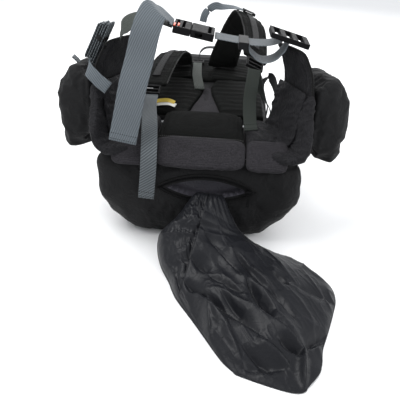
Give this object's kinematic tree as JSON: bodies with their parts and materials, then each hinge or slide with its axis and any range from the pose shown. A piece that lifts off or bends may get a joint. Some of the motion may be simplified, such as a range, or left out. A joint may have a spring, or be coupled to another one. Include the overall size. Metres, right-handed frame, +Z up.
{
  "type": "trekking rucksack",
  "caption": "Large trekking rucksack lying on its front, padded hip belt with zipped pockets buckled, rain cover pulled out of its base pocket.",
  "frame": {"origin": "centre of the front pocket's resting face, on the plane the bag lies on", "axes": "+X to the right seen from the base, +Y from the base to the lid, +Z up out of the back panel"},
  "size_m": [0.5632, 1.1485, 0.4609],
  "materials": {
    "pack_cloth": "dense plain-weave nylon, slightly wrinkled",
    "spacer_mesh": "spacer mesh over foam",
    "foam_pad": "padded ribbed cloth over foam",
    "cover_nylon": "thin coated nylon with a soft shine",
    "lining": "thin coated lining",
    "webbing_grey": "ribbed grey webbing",
    "webbing_olive": "ribbed grey-green webbing",
    "webbing_black": "ribbed black webbing",
    "black_plastic": "moulded acetal with a fine grain",
    "zip_tape": "zip tape and coil",
    "frame_plastic": "translucent polyethylene sheet",
    "stay_aluminium": "anodised flat bar",
    "label_white": "blank printed-satin label"
  },
  "bodies": {
    "root": {"bottom_compartment": "pack_cloth", "main_bag": "pack_cloth", "front_pocket": "pack_cloth", "collar": "pack_cloth", "pocket_lining": "lining", "rain_cover": "cover_nylon", "base_zip": "zip_tape", "frame_sheet": "frame_plastic", "frame_stays": "stay_aluminium", "back_panel": "spacer_mesh", "back_pad_left": "foam_pad", "back_pad_right": "foam_pad", "yoke_panel": "foam_pad", "back_adjust_strap": "webbing_olive", "back_adjust_buckle": "black_plastic", "size_label": "label_white", "belt_core": "webbing_black", "lumbar_pad": "spacer_mesh", "belt_root_pad_left": "foam_pad", "belt_root_pad_right": "foam_pad", "shoulder_strap_left": "foam_pad", "shoulder_strap_right": "foam_pad", "ladder_lock_left": "black_plastic", "ladder_lock_right": "black_plastic", "shoulder_tail_left": "webbing_olive", "shoulder_tail_right": "webbing_olive", "shoulder_webbing_left": "webbing_olive", "shoulder_webbing_right": "webbing_olive", "load_lifters": "webbing_olive", "sternum_strap": "webbing_grey", "sternum_slider": "black_plastic", "haul_loop": "webbing_black", "side_straps": "webbing_black", "side_buckles": "black_plastic", "side_loop_right": "webbing_black", "lid_buckles": "black_plastic"},
    "base_zip_slider": {"base_zip_slider": "black_plastic"},
    "base_zip_pull": {"base_zip_pull": "black_plastic"},
    "lid": {"lid": "pack_cloth", "lid_straps": "webbing_black", "lid_zip": "zip_tape"},
    "lid_zip_slider": {"lid_zip_slider": "black_plastic"},
    "lid_zip_pull": {"lid_zip_pull": "black_plastic"},
    "hip_wing_left": {"hip_wing_left": "foam_pad", "hip_pocket_left": "pack_cloth", "belt_webbing_left": "webbing_grey", "belt_tail_left": "webbing_grey", "strap_bundle_left": "webbing_olive", "buckle_male": "black_plastic"},
    "pocket_slider_left": {"pocket_slider_left": "black_plastic"},
    "pocket_pull_left": {"pocket_pull_left": "webbing_grey"},
    "hip_wing_right": {"hip_wing_right": "foam_pad", "hip_pocket_right": "pack_cloth", "belt_webbing_right": "webbing_grey", "belt_loop_right": "webbing_grey", "belt_slider_right": "black_plastic", "belt_keeper": "webbing_black", "buckle_female": "black_plastic"},
    "pocket_slider_right": {"pocket_slider_right": "black_plastic"},
    "pocket_pull_right": {"pocket_pull_right": "webbing_grey"}
  },
  "joints": [
    {"name": "hip_wing_left_hinge", "type": "hinge", "parent": "root", "child": "hip_wing_left", "pos_m": [-0.166, -0.265, 0.197], "axis": [-0.3007, -0.9537, 0], "range_deg": [0, 30]},
    {"name": "hip_wing_right_hinge", "type": "hinge", "parent": "root", "child": "hip_wing_right", "pos_m": [0.166, -0.265, 0.197], "axis": [-0.3007, 0.9537, 0], "range_deg": [0, 30]},
    {"name": "lid_hinge", "type": "hinge", "parent": "root", "child": "lid", "pos_m": [0, 0.3298, 0.191], "axis": [1, 0, 0], "range_deg": [0, 100]},
    {"name": "base_zip_slide", "type": "slide", "parent": "root", "child": "base_zip_slider", "axis": [-1, 0, 0], "range_m": [0, 0.03]},
    {"name": "base_pull_hinge", "type": "hinge", "parent": "base_zip_slider", "child": "base_zip_pull", "pos_m": [0.098, -0.3604, 0.126], "axis": [-1, 0, 0], "range_deg": [0, 120]},
    {"name": "pocket_zip_left_slide", "type": "slide", "parent": "hip_wing_left", "child": "pocket_slider_left", "axis": [0, 0, -1], "range_m": [0, 0.06]},
    {"name": "pocket_pull_left_hinge", "type": "hinge", "parent": "pocket_slider_left", "child": "pocket_pull_left", "pos_m": [-0.27644, -0.23018, 0.284], "axis": [0.3007, 0.9537, 0], "range_deg": [0, 110]},
    {"name": "pocket_zip_right_slide", "type": "slide", "parent": "hip_wing_right", "child": "pocket_slider_right", "axis": [0, 0, -1], "range_m": [0, 0.06]},
    {"name": "pocket_pull_right_hinge", "type": "hinge", "parent": "pocket_slider_right", "child": "pocket_pull_right", "pos_m": [0.27644, -0.23018, 0.284], "axis": [0.3007, -0.9537, 0], "range_deg": [0, 110]},
    {"name": "lid_zip_slide", "type": "slide", "parent": "lid", "child": "lid_zip_slider", "axis": [-1, 0, 0], "range_m": [0, 0.18]},
    {"name": "lid_pull_hinge", "type": "hinge", "parent": "lid_zip_slider", "child": "lid_zip_pull", "pos_m": [0.096, 0.4112, 0.122], "axis": [1, 0, 0], "range_deg": [0, 110]}
  ]
}
